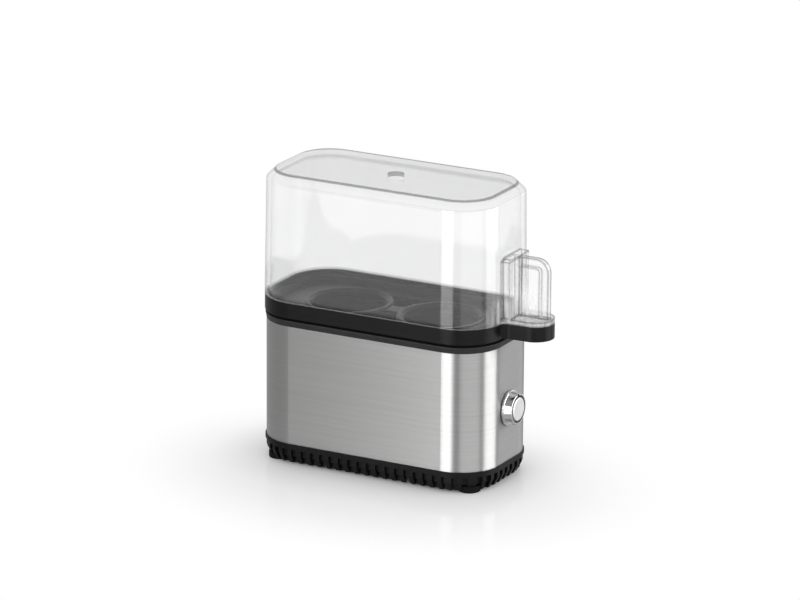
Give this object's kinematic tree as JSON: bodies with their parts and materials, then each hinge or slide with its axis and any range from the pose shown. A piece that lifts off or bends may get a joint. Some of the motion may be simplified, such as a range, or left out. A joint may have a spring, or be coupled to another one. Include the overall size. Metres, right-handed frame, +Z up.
{
  "type": "egg cooker",
  "caption": "Two-egg steam cooker: brushed steel body on a fluted black base, push switch on the end, black egg tray with a lifting tab, clear lid with a fin grip and a steam vent.",
  "frame": {"origin": "On the table surface, under the middle of the steel body", "axes": "+X towards the end with the switch, tab and fin; +Y to the back; +Z up"},
  "size_m": [0.1474, 0.0639, 0.1442],
  "materials": {
    "base_plastic": "satin black moulding",
    "foot_rubber": "matt black rubber",
    "screw_steel": "bright plated steel",
    "sleeve_steel": "brushed round the body",
    "frame_plastic": "satin black moulding",
    "gasket_silicone": "grey silicone",
    "dish_steel": "pressed sheet, satin",
    "heater_aluminium": "cast",
    "element_steel": "drawn tube",
    "clamp_steel": "zinc plated",
    "thermostat_case": "moulded resin",
    "fuse_case": "coated case",
    "switch_rubber": "matt black rubber",
    "bezel_chrome": "polished",
    "nut_brass": "turned",
    "switch_plastic": "moulded black",
    "terminal_brass": "stamped",
    "spring_steel": "drawn wire",
    "cap_chrome": "satin chrome",
    "gland_plastic": "black nylon",
    "block_plastic": "natural nylon",
    "wire_brown": "insulated wire",
    "wire_blue": "insulated wire",
    "wire_red": "insulated wire",
    "wire_white": "glass-fibre sleeved wire",
    "wire_green": "insulated wire",
    "tray_plastic": "satin black moulding",
    "lid_clear": "clear moulding"
  },
  "bodies": {
    "body": {"base": "base_plastic", "feet": "foot_rubber", "base_screws": "screw_steel", "steel_sleeve": "sleeve_steel", "top_frame": "frame_plastic", "dish_gasket": "gasket_silicone", "heating_dish": "dish_steel", "dish_screws": "screw_steel", "heater_plate": "heater_aluminium", "heating_element": "element_steel", "element_clamps": "clamp_steel", "heater_screws": "screw_steel", "thermostat": "thermostat_case", "thermostat_bracket": "clamp_steel", "thermal_fuse": "fuse_case", "switch_gasket": "switch_rubber", "switch_bezel": "bezel_chrome", "switch_washer": "clamp_steel", "switch_nut": "nut_brass", "switch_body": "switch_plastic", "switch_terminals": "terminal_brass", "switch_spring": "spring_steel", "cord_gland": "gland_plastic", "gland_nut": "gland_plastic", "terminal_block": "block_plastic", "terminal_screws": "terminal_brass", "live_wire": "wire_brown", "neutral_wire": "wire_blue", "switched_wire": "wire_red", "thermostat_wire": "wire_red", "fuse_wire": "wire_white", "earth_wire": "wire_green"},
    "tray": {"egg_tray": "tray_plastic"},
    "lid": {"lid": "lid_clear"},
    "button": {"switch_cap": "cap_chrome"}
  },
  "joints": [
    {"name": "tray_lift", "type": "slide", "parent": "body", "child": "tray", "axis": [0, 0, 1], "range_m": [0, 0.05]},
    {"name": "lid_lift", "type": "slide", "parent": "tray", "child": "lid", "axis": [0, 0, 1], "range_m": [0, 0.09]},
    {"name": "switch_press", "type": "slide", "parent": "body", "child": "button", "axis": [-1, 0, 0], "range_m": [0, 0.0015], "stiffness_N_per_m": 800, "deforming": ["switch_spring"]}
  ]
}
